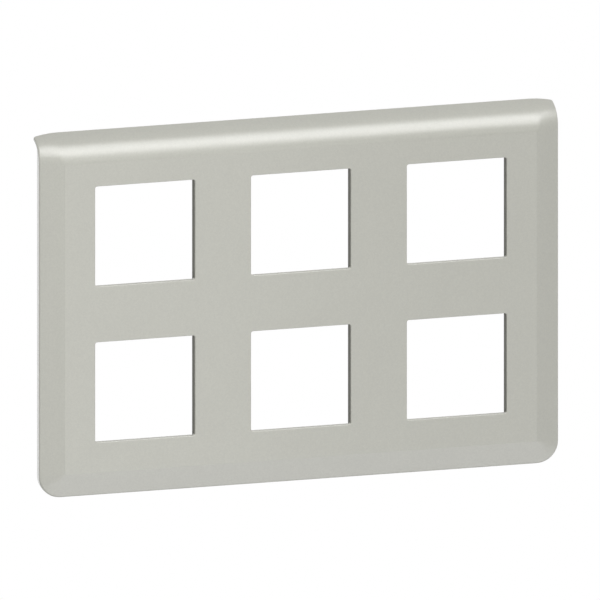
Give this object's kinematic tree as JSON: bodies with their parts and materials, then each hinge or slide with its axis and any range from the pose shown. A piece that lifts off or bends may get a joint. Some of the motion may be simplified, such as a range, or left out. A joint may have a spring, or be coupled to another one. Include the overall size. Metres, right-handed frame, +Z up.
{
  "type": "switch plate",
  "caption": "Rectangular clip-on wall plate with square windows for switch and socket modules, a sloping border and a top edge rolled back to the wall.",
  "frame": {"origin": "on the wall plane, level with the middle of the window grid", "axes": "+X to the right as seen from the front, +Z up, front facing -Y, wall at Y = 0"},
  "size_m": [0.2364, 0.0135, 0.1639],
  "materials": {
    "painted_plastic": "satin warm-grey metallic paint on the front and rim, bare grey plastic behind"
  },
  "bodies": {
    "root": {"cover_plate": "painted_plastic"}
  },
  "joints": []
}
